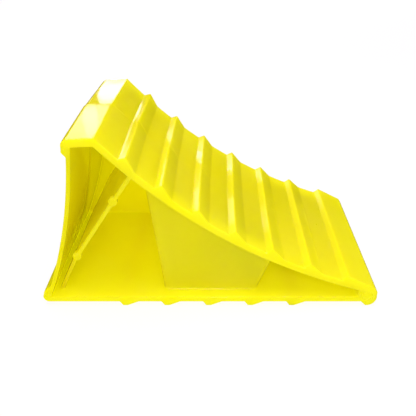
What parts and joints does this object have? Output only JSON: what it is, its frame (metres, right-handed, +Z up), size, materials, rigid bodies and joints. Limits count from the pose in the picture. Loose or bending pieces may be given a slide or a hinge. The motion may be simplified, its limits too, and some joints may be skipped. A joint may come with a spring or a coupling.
{
  "type": "wheel chock",
  "caption": "Moulded plastic wheel chock: a concave toothed ramp rising from a toothed base plate to a narrow flat top, hollow inside with a zigzag of thin walls.",
  "frame": {"origin": "centre of the outline seen from above, at floor level", "axes": "+X from the heel to the toe of the ramp, +Y across the width from the side with the open cells at the heel and toe to the side with the open box, +Z up"},
  "size_m": [0.2076, 0.124, 0.1109],
  "materials": {
    "moulded_plastic": "glossy moulded polymer, bright yellow, slightly translucent"
  },
  "bodies": {
    "root": {"ramp_plate": "moulded_plastic", "ramp_tooth_1": "moulded_plastic", "ramp_tooth_2": "moulded_plastic", "ramp_tooth_3": "moulded_plastic", "ramp_tooth_4": "moulded_plastic", "ramp_tooth_5": "moulded_plastic", "ramp_tooth_6": "moulded_plastic", "ramp_tooth_7": "moulded_plastic", "top_plate": "moulded_plastic", "top_lip": "moulded_plastic", "back_wall": "moulded_plastic", "heel_bead": "moulded_plastic", "base_plate": "moulded_plastic", "base_tooth_1": "moulded_plastic", "base_tooth_2": "moulded_plastic", "base_tooth_3": "moulded_plastic", "base_tooth_4": "moulded_plastic", "base_tooth_5": "moulded_plastic", "toe_bead": "moulded_plastic", "strut": "moulded_plastic", "strut_foot": "moulded_plastic", "box_left_wall": "moulded_plastic", "box_right_wall": "moulded_plastic", "box_near_panel": "moulded_plastic", "box_rising_web": "moulded_plastic", "box_falling_web": "moulded_plastic", "far_panel_back": "moulded_plastic", "far_panel_middle": "moulded_plastic", "far_panel_toe": "moulded_plastic"}
  },
  "joints": []
}
